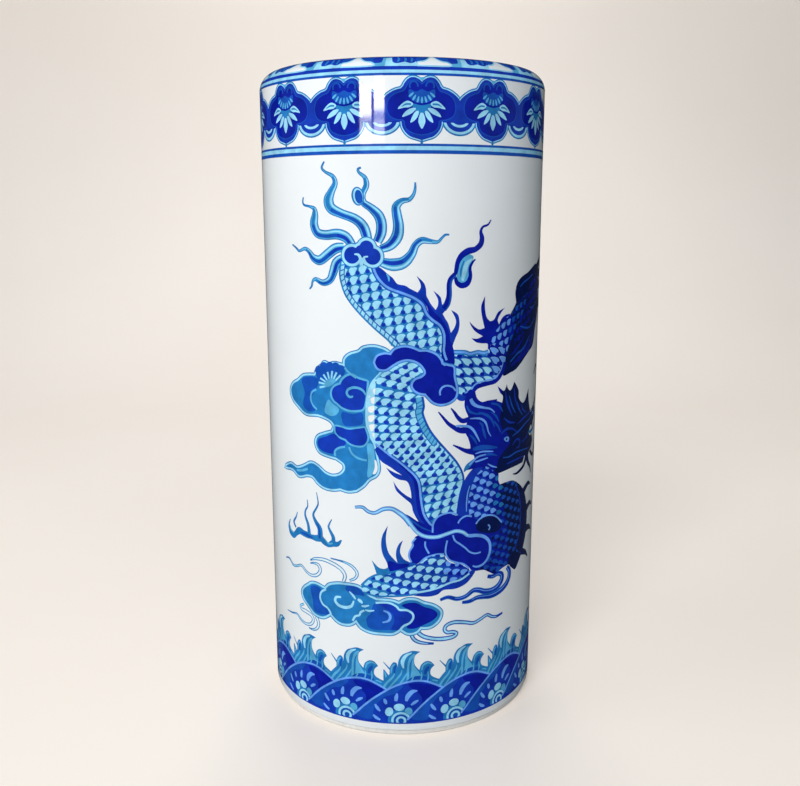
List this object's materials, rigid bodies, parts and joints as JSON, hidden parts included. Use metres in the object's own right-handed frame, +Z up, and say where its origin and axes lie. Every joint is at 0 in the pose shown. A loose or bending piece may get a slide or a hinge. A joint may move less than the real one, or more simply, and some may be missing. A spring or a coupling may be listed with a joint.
{
  "type": "brush holder pot",
  "caption": "Slim straight-sided porcelain pot for brushes with a rounded lip, printed in blue with a dragon among clouds, a wave border and a medallion collar.",
  "frame": {"origin": "centre of the foot ring on the surface that the pot stands on", "axes": "+Z up along the axis of the pot, -Y towards the front with the dragon's trunk"},
  "size_m": [0.0602, 0.0602, 0.136],
  "materials": {
    "bisque": "matte",
    "white_glaze": "gloss",
    "cobalt_print": "gloss",
    "wave_print": "gloss"
  },
  "bodies": {
    "root": {"foot_ring": "bisque", "base_slab": "bisque", "body_wall": "bisque", "lip_ring": "bisque", "outer_glaze": "white_glaze", "inner_glaze": "white_glaze", "base_glaze": "white_glaze", "lip_transfer": "cobalt_print", "collar_transfer": "cobalt_print", "wave_transfer": "wave_print", "dragon_transfer_front": "cobalt_print", "dragon_transfer_back": "cobalt_print"}
  },
  "joints": []
}
